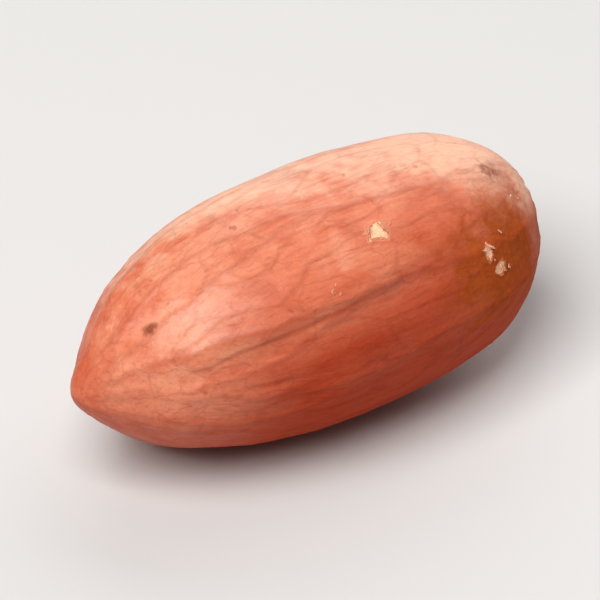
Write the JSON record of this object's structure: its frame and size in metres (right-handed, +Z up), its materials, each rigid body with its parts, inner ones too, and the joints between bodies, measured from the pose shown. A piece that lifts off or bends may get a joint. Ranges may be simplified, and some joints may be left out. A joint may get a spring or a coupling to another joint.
{
  "type": "peanut",
  "caption": "Whole shelled peanut in its papery red skin: a plump oval seed with a small beak at one end and a shallow cleft, lying on its side on a small flat spot.",
  "frame": {"origin": "under the middle of the kernel's box, on the surface that it rests on", "axes": "+X along the kernel from the beak to the blunt end, -Y the front with the cleft, +Z up"},
  "size_m": [0.021, 0.0106, 0.01],
  "materials": {
    "skin": "satin, papery red seed skin"
  },
  "bodies": {
    "root": {"kernel": "skin"}
  },
  "joints": []
}
